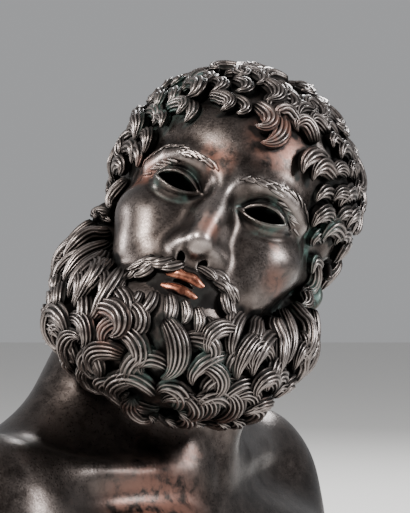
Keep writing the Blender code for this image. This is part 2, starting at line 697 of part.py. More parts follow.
def bronze_bust(collection):
    head_reach = max(abs(HEAD_ACROSS) + 0.75 * HEAD, abs(HEAD_BACK) + 0.80 * HEAD)
    reach = max(SHOULDER_WIDTH / 2, CHEST_DEPTH, head_reach) + 0.02
    low = np.array((-reach, -reach, -FLOOR_MARGIN))
    high = np.array((reach, reach, HEAD_MIDDLE[2] + 0.75 * HEAD))
    values = sampled(bare_bust, low, high)
    hair = locks(hair_roots(), (HAIR_LENGTH, HAIR_WIDTH, HAIR_RISE), (130, 290), seed=11)
    beard_size = (BEARD_LENGTH, BEARD_WIDTH, BEARD_RISE)
    beard = locks(beard_roots(), beard_size, (130, 300), seed=23, off_mouth=True)
    moustache_size = (MOUSTACHE_LENGTH, MOUSTACHE_WIDTH, MOUSTACHE_RISE)
    moustache = locks(moustache_roots(), moustache_size, (50, 120), seed=5)
    chin_tuft = locks(chin_tuft_roots(), (TUFT_LENGTH, TUFT_WIDTH, TUFT_RISE), (60, 150), seed=8)
    add_locks(values, low, (hair, beard, moustache, chin_tuft))
    print("locks", [len(group[0]) for group in (hair, beard, moustache, chin_tuft)])
    body = bpy.data.objects.new("bronze_bust", mesh_from(values, low, "bronze_bust"))
    collection.objects.link(body)
    decimate = body.modifiers.new("fewer faces", "DECIMATE")
    decimate.ratio = BRONZE_TRIANGLES / (2 * len(body.data.polygons))
    decimate.use_collapse_triangulate = True
    replace_with_evaluated(body)
    bm = bmesh.new()
    bm.from_mesh(body.data)
    keep_largest_body(bm)
    cut_flat(bm)
    bm.to_mesh(body.data)
    bm.free()
    for tool in (lip("upper seat", True, LIP_FIT), lip("lower seat", False, LIP_FIT), mouth_gap()):
        cut_away(body, tool)
    bm = bmesh.new()
    bm.from_mesh(body.data)
    bmesh.ops.triangulate(bm, faces=bm.faces[:])
    mend_shared_edges(bm)
    keep_largest_body(bm)
    bm.to_mesh(body.data)
    bm.free()
    body.data.materials.clear()
    body.data.materials.append(material("bronze", (0.115, 0.085, 0.070), 0.42))


def copper_lips(collection):
    copper = material("copper", (0.420, 0.165, 0.090), 0.38)
    for name, upper in (("upper_lip", True), ("lower_lip", False)):
        piece = lip(name, upper)
        piece.data.materials.append(copper)
        collection.objects.link(piece)


def main():
    for obj in list(bpy.data.objects):
        bpy.data.objects.remove(obj)
    collection = bpy.data.collections.new("bronze bust")
    bpy.context.scene.collection.children.link(collection)
    bronze_bust(collection)
    copper_lips(collection)


main()
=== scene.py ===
"""Finish of the bronze bust: its fine surface, chased locks of hair and beard, copper lips and patina.

Metres, in the CAD part's frame. The form is the same distance field as the part's, meshed more finely.
"""

import math

import bmesh
import bpy
import numpy as np
import openvdb
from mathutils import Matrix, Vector


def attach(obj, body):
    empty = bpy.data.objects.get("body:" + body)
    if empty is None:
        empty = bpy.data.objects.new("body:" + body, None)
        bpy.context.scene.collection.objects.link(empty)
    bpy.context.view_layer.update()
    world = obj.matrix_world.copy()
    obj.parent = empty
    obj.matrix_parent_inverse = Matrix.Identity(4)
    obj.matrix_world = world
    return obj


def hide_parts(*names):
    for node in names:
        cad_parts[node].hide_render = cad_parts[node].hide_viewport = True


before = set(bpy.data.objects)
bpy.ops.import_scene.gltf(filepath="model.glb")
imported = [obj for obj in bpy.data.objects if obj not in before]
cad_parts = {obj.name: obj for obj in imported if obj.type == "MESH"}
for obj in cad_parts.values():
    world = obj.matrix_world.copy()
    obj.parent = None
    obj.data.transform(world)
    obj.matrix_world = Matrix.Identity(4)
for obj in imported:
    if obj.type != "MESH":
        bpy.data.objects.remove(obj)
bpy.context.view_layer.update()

# The bust, in metres, as in the part
PIT_HEIGHT = 0.150
SHOULDER_WIDTH = 0.440
CHEST_DEPTH = 0.216
NECK_RADIUS = 0.060
HEAD = 0.232
SOCKET_DEPTH = 0.032
HEAD_ACROSS = 0.052
HEAD_BACK = -0.006
HEAD_ABOVE_PIT = 0.156

# Pose, in degrees
CHEST_TURN = 58.0
HEAD_TURN = -5.0
HEAD_ROLL = 23.0
HEAD_PITCH = -15.0

# Locks, in metres
HAIR_GAP, HAIR_LENGTH, HAIR_WIDTH, HAIR_RISE = 0.0138, 0.032, 0.0136, 0.0070
BEARD_GAP, BEARD_LENGTH, BEARD_WIDTH, BEARD_RISE = 0.0162, 0.039, 0.0156, 0.0086
MOUSTACHE_LENGTH, MOUSTACHE_WIDTH, MOUSTACHE_RISE = 0.0185, 0.0086, 0.0040
TUFT_LENGTH, TUFT_WIDTH, TUFT_RISE = 0.023, 0.0098, 0.0048
BROW_LENGTH, BROW_WIDTH, BROW_RISE = 0.0100, 0.0024, 0.0008
LOCK_STATIONS = 9

# Strands engraved on one lock after another, and the sections along each lock
HAIR_STRANDS = (6, 5, 7, 5)
BEARD_STRANDS = (7, 6, 8, 6)
MOUSTACHE_STRANDS = (5, 4)
GROOVE_DEPTH = 0.34  # of a strand's distance from the middle of its lock
RIBBON_STATIONS = 19
BROW_STATIONS = 10

# Copper lips, in metres
LIP_HALF_WIDTH = 0.0255
UPPER_LIP = 0.0078  # its height at the middle
LOWER_LIP = 0.0096
LIP_PART = 0.0014  # between the two lips
SEAT_OVERLAP = 0.0004  # how far a lip stands out over the edge of its seat

# Meshing
HEAD_VOXEL = 0.0008
CHEST_VOXEL = 0.0026
NEAR_VOXEL = 0.0026  # of the grid that tells how open each spot is, for the painted shade in closed-in spots
HEAD_TRIANGLES = 190000
BLOCK = 6  # voxels along one side of a block that is skipped where no surface is near
FLOOR_MARGIN = 0.008  # the field runs on this far below the flat cut
NECK_FILLET = 0.010  # blend between head and neck
COLLAR = 0.011  # how far the head's piece reaches past the bare head, to take in that fillet
HEAD_DOWN, HEAD_UP = 0.165, 0.155  # the head's grid, from the head's middle
MODEL_HEAD = 0.232  # the head's own numbers below are for a head of this height

# The photograph: its scale, and where the middle of the head falls in it
METRES_PER_PIXEL = 0.000725
PHOTO_SIZE = (410, 513)
HEAD_PIXEL = (214, 243)
CAMERA_DISTANCE = 1.6
FLOOR_SIZE = 6.0

# Colours of the metal, and the black that paints shade in grooves, hollows and recesses
DARK_BRONZE, BARE_BRONZE, WORN_BRONZE = (0.022, 0.017, 0.015), (0.074, 0.060, 0.054), (0.300, 0.258, 0.240)
# the last of these is black painted as shade in grooves, hollows and recesses
RED_CRUST, GREEN_CRUST, SHADE_BLACK = (0.165, 0.058, 0.034), (0.030, 0.110, 0.090), (0.004, 0.004, 0.004)
DARK_COPPER, BARE_COPPER = (0.110, 0.036, 0.023), (0.360, 0.145, 0.090)


def turn_x(degrees):
    c, s = math.cos(math.radians(degrees)), math.sin(math.radians(degrees))
    return np.array(((1, 0, 0), (0, c, -s), (0, s, c)))


def turn_y(degrees):
    c, s = math.cos(math.radians(degrees)), math.sin(math.radians(degrees))
    return np.array(((c, 0, s), (0, 1, 0), (-s, 0, c)))


def turn_z(degrees):
    c, s = math.cos(math.radians(degrees)), math.sin(math.radians(degrees))
    return np.array(((c, -s, 0), (s, c, 0), (0, 0, 1)))


CHEST_AXES = turn_z(CHEST_TURN)
HEAD_AXES = turn_y(HEAD_ROLL) @ turn_x(HEAD_PITCH) @ turn_z(HEAD_TURN)
HEAD_MIDDLE = np.array((HEAD_ACROSS, HEAD_BACK, PIT_HEIGHT + HEAD_ABOVE_PIT))


def to_head(points):
    """World points in the head's frame: x to its left, y back, z up, at the model head's size."""
    return (points - HEAD_MIDDLE) @ HEAD_AXES * (MODEL_HEAD / HEAD)


def from_head(points):
    return np.asarray(points) * (HEAD / MODEL_HEAD) @ HEAD_AXES.T + HEAD_MIDDLE


def to_chest(points):
    return points @ CHEST_AXES


def from_chest(points):
    return np.asarray(points) @ CHEST_AXES.T


# Distances and blends


def smooth_min(a, b, blend):
    near = np.maximum(blend - np.abs(a - b), 0) / blend
    return np.minimum(a, b) - near * near * blend / 4


def smooth_max(a, b, blend):
    return -smooth_min(-a, -b, blend)


def ellipsoid(p, centre, radii, axes=None):
    q = p - np.array(centre)
    if axes is not None:
        q = q @ axes
    r = np.array(radii)
    near = np.linalg.norm(q / r, axis=-1)
    slope = np.linalg.norm(q / r**2, axis=-1) + 1e-9
    return near * (near - 1) / slope


def cone(p, a, b, radius_a, radius_b):
    """A rounded cone from a to b."""
    a, b = np.array(a), np.array(b)
    along = b - a
    t = np.clip((p - a) @ along / (along @ along), 0, 1)
    return np.linalg.norm(p - a - t[..., None] * along, axis=-1) - (radius_a + t * (radius_b - radius_a))


def chain(p, points, radii):
    """Rounded cones from point to point, joined end to end."""
    ends = zip(points, points[1:], radii, radii[1:])
    return np.minimum.reduce([cone(p, a, b, radius_a, radius_b) for a, b, radius_a, radius_b in ends])


def folded(p):
    """Both halves of a symmetric form laid on its +x side."""
    return np.stack((np.abs(p[..., 0]), p[..., 1], p[..., 2]), -1)


# The head, in its own frame


def skull_and_face(q):
    d = ellipsoid(q, (0, 0.008, 0.040), (0.0755, 0.095, 0.088))
    d = smooth_min(d, ellipsoid(q, (0, -0.034, 0.040), (0.0650, 0.0595, 0.058)), 0.020)
    d = smooth_min(d, ellipsoid(q, (0, -0.035, -0.022), (0.0625, 0.0545, 0.068)), 0.018)
    d = smooth_min(d, ellipsoid(q, (0, -0.046, -0.068), (0.0500, 0.0480, 0.040)), 0.018)
    cheekbone = ellipsoid(q, (0.0420, -0.0640, -0.0180), (0.0225, 0.0215, 0.0180))
    d = smooth_min(d, cheekbone, 0.020)
    d = smooth_min(d, cone(q, (0.050, -0.056, -0.013), (0.069, -0.012, -0.002), 0.0100, 0.0060), 0.018)
    cheek = ellipsoid(q, (0.0310, -0.0690, -0.0420), (0.0240, 0.0205, 0.0240))
    d = smooth_min(d, cheek, 0.018)
    muzzle = ellipsoid(q, (0, -0.0780, -0.0610), (0.0330, 0.0240, 0.0250))
    d = smooth_min(d, muzzle, 0.016)
    round_lips = ellipsoid(q, (0, -0.0960, -0.0650), (0.0270, 0.0085, 0.0135))
    return smooth_min(d, round_lips, 0.010)


def brows(q):
    points = [(0.0090, -0.0875, 0.0195), (0.0210, -0.0878, 0.0245), (0.0340, -0.0845, 0.0265)]
    points += [(0.0460, -0.0755, 0.0245), (0.0555, -0.0640, 0.0170)]
    return chain(q, points, [0.0050, 0.0054, 0.0054, 0.0050, 0.0040])


def nose(q):
    ridge = [(0, -0.0875, 0.0230), (0, -0.0975, 0.0010), (0, -0.1075, -0.0180), (0, -0.1125, -0.0325)]
    d = chain(q, ridge, [0.0080, 0.0074, 0.0076, 0.0082])
    d = smooth_min(d, ellipsoid(q, (0, -0.0925, -0.0200), (0.0140, 0.0170, 0.0260)), 0.008)
    wing = ellipsoid(q, (0.0108, -0.0970, -0.0370), (0.0080, 0.0125, 0.0082), turn_z(-14))
    d = smooth_min(d, wing, 0.012)
    return smooth_min(d, cone(q, (0, -0.1110, -0.0400), (0, -0.0980, -0.0455), 0.0036, 0.0042), 0.006)


def nostril(q):
    return ellipsoid(q, (0.0066, -0.1020, -0.0455), (0.0030, 0.0056, 0.0052), turn_z(20))


def lens(x, z, half_width, rise, drop):
    """An almond between two arcs that meet at plus and minus half_width."""
    above, below = ((half_width**2 - h**2) / (2 * h) for h in (rise, drop))
    return np.maximum(np.hypot(x, z + above) - (above + rise), np.hypot(x, z - below) - (below + drop))


def eyelids(q, d):
    """The lids round an empty eye and the fold above them."""
    d = smooth_max(d, -ellipsoid(q, (0.0330, -0.1000, 0.0080), (0.0200, 0.0160, 0.0120)), 0.012)
    d = smooth_min(d, ellipsoid(q, (0.0325, -0.0780, 0.0065), (0.0168, 0.0135, 0.0130)), 0.005)
    eye = (q - np.array((0.0325, 0, 0.0065))) @ turn_y(-4)
    opening = lens(eye[..., 0], eye[..., 2], 0.0150, 0.0062, 0.0050)
    in_front = q[..., 1] + 0.060
    rim = np.maximum(np.hypot(opening - 0.0012, d) - 0.0009, in_front)
    d = smooth_min(d, rim, 0.0030)
    fold = np.abs(lens(eye[..., 0], eye[..., 2] - 0.0012, 0.0175, 0.0100, 0.0060))
    fold = np.maximum(np.hypot(fold, d) - 0.0010, np.maximum(0.002 - eye[..., 2], in_front))
    return smooth_max(d, -fold, 0.0016), opening


def ear(q):
    axes = turn_z(24) @ turn_x(-12)
    e = (q - np.array((0.0770, 0.005, -0.010))) @ axes
    e = np.stack((e[..., 1], e[..., 2], e[..., 0]), -1)  # back, up, out
    angles = np.radians((150, 120, 90, 55, 20, -15, -50, -80))
    rim_back, rim_up = 0.0035 + 0.0160 * np.cos(angles), 0.002 + 0.0280 * np.sin(angles)
    rim = np.stack((rim_back, rim_up, np.full(8, 0.0068)), -1)
    d = ellipsoid(e, (0.002, 0.0, -0.001), (0.0165, 0.029, 0.0070))
    rim_radii = [0.0026, 0.0030, 0.0034, 0.0034, 0.0032, 0.0030, 0.0030, 0.0034]
    d = smooth_min(d, chain(e, list(rim), rim_radii), 0.003)
    inner_fold = [(0.000, 0.019, 0.005), (0.008, 0.010, 0.0055)]
    inner_fold += [(0.0095, 0.000, 0.0058), (0.006, -0.011, 0.0055)]
    d = smooth_min(d, chain(e, inner_fold, [0.0020, 0.0024, 0.0026, 0.0026]), 0.003)
    lobe = ellipsoid(e, (-0.0005, -0.0240, 0.003), (0.0075, 0.0085, 0.0046))
    d = smooth_min(d, lobe, 0.006)
    d = smooth_max(d, -ellipsoid(e, (-0.0035, -0.004, 0.0085), (0.0080, 0.0115, 0.0085)), 0.003)
    return smooth_min(d, ellipsoid(e, (-0.0125, -0.005, 0.0020), (0.0040, 0.0075, 0.0040)), 0.005)


def hairline(z):
    """How far back the hair starts at a height."""
    return np.interp(z, (-0.030, 0.020, 0.050, 0.070, 0.082), (-0.020, -0.036, -0.050, -0.070, -0.092))


def nape_line(y):
    return np.interp(y, (0.020, 0.034, 0.060), (-0.024, -0.046, -0.056))


def hair_bed(q):
    """The mass under the locks of the hair."""
    d = ellipsoid(q, (0, 0.006, 0.042), (0.0865, 0.0995, 0.0845))
    d = smooth_max(d, 0.6 * (hairline(q[..., 2]) + 0.003 - q[..., 1]), 0.012)
    d = smooth_max(d, 0.8 * (nape_line(q[..., 1]) - q[..., 2]), 0.012)
    round_ear = ellipsoid(q, (0.0900, 0.0040, -0.0120), (0.0280, 0.0230, 0.0340))
    return smooth_max(d, -round_ear, 0.008)


def beard_line(y):
    """How high up the cheek the beard starts, from the mouth back to the ear."""
    back = (-0.106, -0.090, -0.070, -0.050, -0.030, -0.012)
    return np.interp(y, back, (-0.074, -0.066, -0.054, -0.044, -0.030, -0.020))


def beard_bed(q):
    """The mass under the locks of the beard."""
    d = ellipsoid(q, (0, -0.0620, -0.0920), (0.0600, 0.0500, 0.0480))
    jaw = [(0.0720, -0.0060, -0.0180), (0.0680, -0.0240, -0.0560), (0.0440, -0.0480, -0.0900)]
    return smooth_min(d, chain(q, jaw, [0.0100, 0.0215, 0.0360]), 0.016)


def mouth_line(u):
    """The line where the lips part, at u from -1 to 1 across the mouth."""
    height = -0.0640 + 0.0008 * np.cos(2 * math.pi * u)
    return np.stack((LIP_HALF_WIDTH * u, -0.1030 + 0.0110 * u**2, height), -1)


def lip_size(u, upper):
    """Half the height and half the depth of a lip at u."""
    u = np.clip(u, -1, 1)
    if upper:
        bow = 0.16 * np.exp(-(((np.abs(u) - 0.26) / 0.14) ** 2)) - 0.10 * np.exp(-((u / 0.10) ** 2))
        return UPPER_LIP / 2 * (1 - u**2) ** 0.75 * (1 + bow) + 0.0006, 0.0046 * np.sqrt(1 - u**2) + 0.0008
    return LOWER_LIP / 2 * (1 - u**2) ** 0.85 + 0.0006, 0.0056 * np.sqrt(1 - u**2) + 0.0008


def lip_seat(q, upper):
    """The bed of a copper lip. Its edge lies just under the lip's own."""
    u = q[..., 0] / LIP_HALF_WIDTH
    high, deep = lip_size(u, upper)
    middle = mouth_line(np.clip(u, -1, 1))
    middle[..., 2] += (1 if upper else -1) * (LIP_PART / 2 + high)
    away = q - middle
    share = np.hypot(away[..., 1] / (deep - SEAT_OVERLAP), away[..., 2] / (high - SEAT_OVERLAP))
    return np.maximum((share - 1) * np.minimum(deep, high), (np.abs(u) - 0.99) * LIP_HALF_WIDTH)


def mouth_opening(q):
    """The dark gap between the lips and behind them."""
    u = q[..., 0] / LIP_HALF_WIDTH
    away = q - mouth_line(u) - np.array((0, 0.0045, 0))
    reach = np.sqrt(np.clip(1 - (u / 0.93) ** 2, 0, 1))
    return np.hypot(away[..., 1] / 3.4, away[..., 2]) - 0.0026 * reach


def head_fields(p):
    """The head without its locks, at world points, before and after its eyes and mouth are opened."""
    q = folded(to_head(p))
    d = skull_and_face(q)
    d = smooth_min(d, brows(q), 0.012)
    d = smooth_min(d, nose(q), 0.011)
    d, opening = eyelids(q, d)
    d = smooth_min(d, hair_bed(q), 0.006)
    d = smooth_min(d, ear(q), 0.004)
    closed = smooth_min(d, beard_bed(q), 0.006)
    opened = smooth_max(closed, -nostril(q), 0.002)
    socket = np.maximum(opening + 0.0004, q[..., 1] + 0.0900 - SOCKET_DEPTH)
    opened = smooth_max(opened, -socket, 0.0012)
    for gap in (mouth_opening(q), lip_seat(q, True), lip_seat(q, False)):
        opened = np.maximum(opened, -gap)
    return closed * (HEAD / MODEL_HEAD), opened * (HEAD / MODEL_HEAD)


def bare_head(p):
    return head_fields(p)[1]


def lock_bed(p):
    """The smooth surface that locks are laid on."""
    q = folded(to_head(p))
    d = smooth_min(skull_and_face(q), hair_bed(q), 0.008)
    return smooth_min(d, beard_bed(q), 0.010) * (HEAD / MODEL_HEAD)


# Neck, shoulders and chest, in the chest's frame


def torso(p):
    q = to_chest(p)
    c = folded(q)
    pit, half, deep = PIT_HEIGHT, SHOULDER_WIDTH / 2, CHEST_DEPTH / 2
    d = ellipsoid(c, (0, 0.012, pit - 0.165), (0.76 * half, 1.05 * deep, 0.190))
    girdle = cone(c, (0, 0.020, pit - 0.034), (0.74 * half, 0.014, pit - 0.030), 0.048, 0.040)
    d = smooth_min(d, girdle, 0.050)
    deltoid = ellipsoid(c, (0.755 * half, 0.010, pit - 0.062), (0.245 * half, 0.058, 0.086))
    d = smooth_min(d, deltoid, 0.040)
    arm = cone(c, (0.77 * half, 0.012, pit - 0.080), (0.80 * half, 0.018, pit - 0.230), 0.048, 0.043)
    d = smooth_min(d, arm, 0.030)
    pectoral = ellipsoid(c, (0.36 * half, -0.46 * deep, pit - 0.105), (0.40 * half, 0.050, 0.064))
    armpit, near_arm = (0.38 * half, -0.56 * deep, pit - 0.100), (0.70 * half, -0.10 * deep, pit - 0.068)
    pectoral = smooth_min(pectoral, cone(c, armpit, near_arm, 0.032, 0.026), 0.040)
    d = smooth_min(d, pectoral, 0.030)
    collarbone = [(0.016, -0.045, pit - 0.008), (0.28 * half, -0.045, pit - 0.003)]
    collarbone += [(0.52 * half, -0.031, pit), (0.74 * half, -0.008, pit + 0.002)]
    d = smooth_min(d, chain(c, collarbone, [0.0070, 0.0062, 0.0062, 0.0070]), 0.024)
    shoulder_blade = ellipsoid(c, (0.36 * half, 0.54 * deep, pit - 0.085), (0.40 * half, 0.050, 0.100))
    d = smooth_min(d, shoulder_blade, 0.050)
    spine = cone(q, (0, 1.24 * deep, pit - 0.010), (0, 1.30 * deep, pit - 0.200), 0.012, 0.012)
    d = smooth_max(d, -spine, 0.034)
    breastbone = cone(q, (0, -0.94 * deep, pit - 0.060), (0, -1.16 * deep, pit - 0.200), 0.007, 0.007)
    return smooth_max(d, -breastbone, 0.024)


def neck(p):
    foot = from_chest((0, 0.020, PIT_HEIGHT - 0.020))
    d = cone(p, foot, from_head((0, 0.014, -0.030)), NECK_RADIUS + 0.004, NECK_RADIUS)
    nape = cone(p, from_head((0, 0.052, -0.015)), from_chest((0, 0.052, PIT_HEIGHT - 0.020)), 0.036, 0.046)
    d = smooth_min(d, nape, 0.030)
    for side in (-1, 1):
        high = from_head((side * 0.024, 0.046, -0.030))
        low = from_chest((side * 0.56 * SHOULDER_WIDTH / 2, 0.026, PIT_HEIGHT - 0.014))
        d = smooth_min(d, cone(p, high, low, 0.030, 0.026), 0.060)
    for side in (-1, 1):
        mastoid = from_head((side * 0.058, 0.018, -0.034))
        notch = from_chest((side * 0.014, -0.046, PIT_HEIGHT - 0.004))
        d = smooth_min(d, cone(p, mastoid, notch, 0.0150, 0.0080), 0.020)
    return d


def below_head(p):
    return smooth_min(torso(p), neck(p), 0.026)


def bare_bust(p):
    return smooth_min(below_head(p), bare_head(p), NECK_FILLET)


def head_with_collar(p):
    """The head and the fillet where it meets the neck, closed off inside the neck."""
    head = bare_head(p)
    return np.maximum(smooth_min(below_head(p), head, NECK_FILLET), head - COLLAR)


# Where locks lie


def unit(v):
    return v / np.linalg.norm(v, axis=-1, keepdims=True)


def outward(field, p, step=0.0006):
    """The field's gradient, which points out of the surface."""
    steps = step * np.eye(3)
    return unit(np.stack([field(p + s) - field(p - s) for s in steps], -1))


def settled(field, p):
    """Points moved onto the field's surface."""
    for _ in range(4):
        p = p - field(p)[..., None] * outward(field, p)
    return p


def spread_directions(count):
    """Unit vectors spread evenly over a sphere."""
    k = np.arange(count) + 0.5
    z = 1 - 2 * k / count
    angle = k * math.pi * (3 - math.sqrt(5))
    ring = np.sqrt(1 - z * z)
    return np.stack((ring * np.cos(angle), ring * np.sin(angle), z), -1)


def cast_from_head(middle, directions, reach=0.20):
    """Where rays from a point in the head meet the locks' bed, found from outside, in the head's frame."""
    directions = directions @ HEAD_AXES.T
    p = from_head(middle) + directions * reach
    for _ in range(40):
        p = p - directions * lock_bed(p)[..., None] * 0.9
    return to_head(p)


def thinned(points, gap):
    """The first points, and each later one that is at least a gap from all that are kept."""
    kept = points[:1]
    for point in points[1:]:
        if np.min(np.sum((kept - point) ** 2, -1)) >= gap**2:
            kept = np.vstack((kept, point))
    return kept


def walk(field, roots, headings, lengths, turns):
    """Follows each lock over the surface. turns holds the angle it turns by at each station.
    Gives the points, headings and normals of every lock at every station."""
    p = settled(field, roots)
    t = headings
    track = []
    for k in range(turns.shape[1]):
        n = outward(field, p)
        t = unit(t - np.sum(t * n, -1, keepdims=True) * n)
        track.append((p, t, n))
        angle = turns[:, k, None]
        t = t * np.cos(angle) + np.cross(n, t) * np.sin(angle)
        p = settled(field, p + t * (lengths / (turns.shape[1] - 1))[:, None])
    return (np.stack(rows, 1) for rows in zip(*track))


def ear_share(q):
    """Distance from the ear's middle, seen from the side, as a share of the ear's own size."""
    return np.hypot((q[..., 1] - 0.006) / 0.020, (q[..., 2] + 0.012) / 0.032)


def hair_roots():
    """Where hair grows, in the head's frame, and which way it lies."""
    q = cast_from_head((0, 0.000, 0.025), spread_directions(6000))
    x, y, z = np.abs(q[:, 0]), q[:, 1], q[:, 2]
    behind = y - hairline(z)
    grows = (behind > 0) & (z > nape_line(y)) & ~((ear_share(q) < 1.15) & (x > 0.05))
    rows = np.argsort(behind[grows] > 0.004, kind="stable")
    q = thinned(q[grows][rows], HAIR_GAP)
    crown = np.array((0.006, 0.050, 0.118))
    flow = unit(q - crown)
    round_ear = np.where(q[:, 1:2] < -0.010, (0, -0.15, -1.0), (0, 0.95, -0.60))
    near = np.clip(2.3 - ear_share(q), 0, 1)[:, None] * (np.abs(q[:, :1]) > 0.05)
    return q, unit(flow * (1 - near) + round_ear * near), np.ones(len(q))


def beard_roots():
    """Where the beard grows, which way it lies, and how much it curls, which is less on the cheeks."""
    q = cast_from_head((0, -0.030, -0.055), spread_directions(6000))
    x, y, z = np.abs(q[:, 0]), q[:, 1], q[:, 2]
    below = beard_line(y) - z
    round_mouth = (x < 0.026) & (z > -0.082) & (y < -0.06)
    grows = (below > 0) & (y < 0.006) & ~round_mouth & ~((ear_share(q) < 1.15) & (x > 0.05))
    rows = np.argsort(below[grows] > 0.004, kind="stable")
    q = thinned(q[grows][rows], BEARD_GAP)
    flow = np.stack((5.5 * q[:, 0], np.full(len(q), -0.25), np.full(len(q), -1.0)), -1)
    cheek = np.clip((np.abs(q[:, 0]) - 0.034) / 0.014, 0, 1)
    curl = 1 - cheek * (1 - np.clip((beard_line(q[:, 1]) - q[:, 2]) / 0.018, 0.20, 1))
    return q, unit(flow), curl


def moustache_roots():
    """Two layers under the nose that part to the sides and run down past the corners of the mouth."""
    q, flow = [], []
    for side in (-1, 1):
        for share in np.linspace(0, 1, 3):
            q.append((side * (0.0305 + 0.0045 * share), -0.092, -0.0590 - 0.0170 * share))
            flow.append((side * (0.65 - 0.45 * share), 0.1, -1.0))
        layers = ((0.0120, 0.0300, -0.0515, -0.0555), (0.0035, 0.0265, -0.0480, -0.0490))
        for near, far, high, low in layers:
            for share in np.linspace(0, 1, 4):
                q.append((side * (near + (far - near) * share), -0.104, high + (low - high) * share))
                flow.append((side * (1.0 - 0.15 * share), 0.2, -0.50 - 0.10 * share))
    return np.array(q), unit(np.array(flow)), np.ones(len(q))


def chin_tuft_roots():
    """A row below the lower lip that spreads over the chin."""
    q = np.array([(0.0085 * k, -0.100, -0.0775 - 0.0006 * k**2) for k in (-2.5, -1.5, -0.5, 0.5, 1.5, 2.5)])
    flow = np.stack((20 * q[:, 0], np.full(len(q), -0.1), np.full(len(q), -1.0)), -1)
    return q, unit(flow), np.ones(len(q))


def brow_roots():
    """Three rows of short strands along each brow, in the head's frame."""
    q, flow = [], []
    for side in (-1, 1):
        for row in (-1, 0, 1):
            for share in np.linspace(0, 1, 12) + 0.04 * row:
                x = 0.0085 + 0.0440 * share
                z = 0.0235 + 0.0070 * math.sin(math.pi * 0.85 * share) - 0.0060 * share + 0.0020 * row
                q.append((side * x, -0.0950 + 0.030 * share**2, z))
                flow.append((side, 0.5 * share, 0.30 - 0.30 * row - 0.75 * share))
    return np.array(q), unit(np.array(flow)), np.ones(len(q))


def hook(stations):
    """Shares of a lock's whole turn: little at the root, most towards the tip."""
    share = (np.arange(stations) + 1.0) ** 1.3
    return share / share.sum()


def locks(roots, size, turn_range, seed, off_mouth=False, bed=lock_bed):
    """Lays one lock from each root. size is length, width and rise.
    Gives each lock's points, headings and normals, and its width, rise and height over the bed."""
    q, flow, curl = roots
    rng = np.random.default_rng(seed)
    count = len(q)
    length, width, rise = size
    length = length * (1.25 - 0.25 * curl)
    drift = np.sin(38 * q[:, 2] + 21 * q[:, 1]) * np.sin(34 * q[:, 0] + 9 * q[:, 1])
    sign = np.where(drift + rng.uniform(-0.20, 0.20, count) < 0, -1.0, 1.0)
    turn = sign * curl * np.radians(rng.uniform(*turn_range, count))
    spread = np.radians(rng.uniform(-16, 16, count))
    scale = rng.uniform(0.86, 1.18, count)
    height = rise * rng.uniform(-0.20, 0.30, count)
    heading = flow @ HEAD_AXES.T
    points = from_head(q)
    normal = outward(bed, points)
    heading = unit(heading - np.sum(heading * normal, -1, keepdims=True) * normal)
    start = (spread - 0.42 * turn)[:, None]
    heading = heading * np.cos(start) + np.cross(normal, heading) * np.sin(start)
    turns = turn[:, None] * hook(LOCK_STATIONS)[None]
    p, t, n = walk(bed, points, heading, length * scale, turns)
    clear = clear_share(p, off_mouth)
    p, t, n = walk(bed, points, heading, length * scale * clear, turns)
    kept = clear > 0.4
    return p[kept], t[kept], n[kept], (width * scale)[kept], (rise * scale)[kept], height[kept]


def clear_share(p, off_mouth):
    """How much of each lock's length stops short of the ears, and of the mouth where that is asked."""
    q = to_head(p)
    x, z = np.abs(q[..., 0]), q[..., 2]
    taken = (ear_share(q) < 0.95) & (x > 0.05)
    if off_mouth:
        taken |= (x < LIP_HALF_WIDTH + 0.006) & (z > -0.084) & (z < -0.046) & (q[..., 1] < -0.07)
    first = np.where(taken.any(1), taken.argmax(1), LOCK_STATIONS)
    return np.minimum((first - 0.5) / (LOCK_STATIONS - 1), 1)


def lock_profile(s):
    """Width, thickness and lift of a lock as shares of its own, at s from root 0 to tip 1."""
    close = np.clip((s - 0.62) / 0.38, 0, 1)
    width = (0.62 + 0.38 * np.sin(math.pi * np.minimum(1.1 * s, 1))) * (1 - 0.70 * close**1.6)
    thickness = (0.50 + 0.50 * np.sin(math.pi * np.minimum(0.15 + 0.8 * s, 1))) * (1 - 0.35 * close)
    lift = 0.05 + 0.50 * s
    return width, thickness, lift


# Grids of distances


def sampled(field, low, high, voxel):
    """The field on a grid, worked out only in blocks that the surface may cross."""
    block = voxel * BLOCK
    counts = np.ceil((high - low) / block).astype(int)
    sides = [low[i] + block * (np.arange(counts[i]) + 0.5) for i in range(3)]
    rough = field(np.stack(np.meshgrid(*sides, indexing="ij"), -1))
    values = np.sign(rough).astype(np.float32) * np.float32(block)
    for axis in range(3):
        values = np.repeat(values, BLOCK, axis)
    inside = np.stack(np.meshgrid(*[np.arange(BLOCK)] * 3, indexing="ij"), -1).reshape(-1, 3)
    crossed = np.argwhere(np.abs(rough) < 1.3 * block)
    for part in np.array_split(crossed, max(1, len(crossed) // 3000)):
        cells = (part[:, None] * BLOCK + inside[None]).reshape(-1, 3)
        values[tuple(cells.T)] = field(low + voxel * (cells + 0.5))
    return values


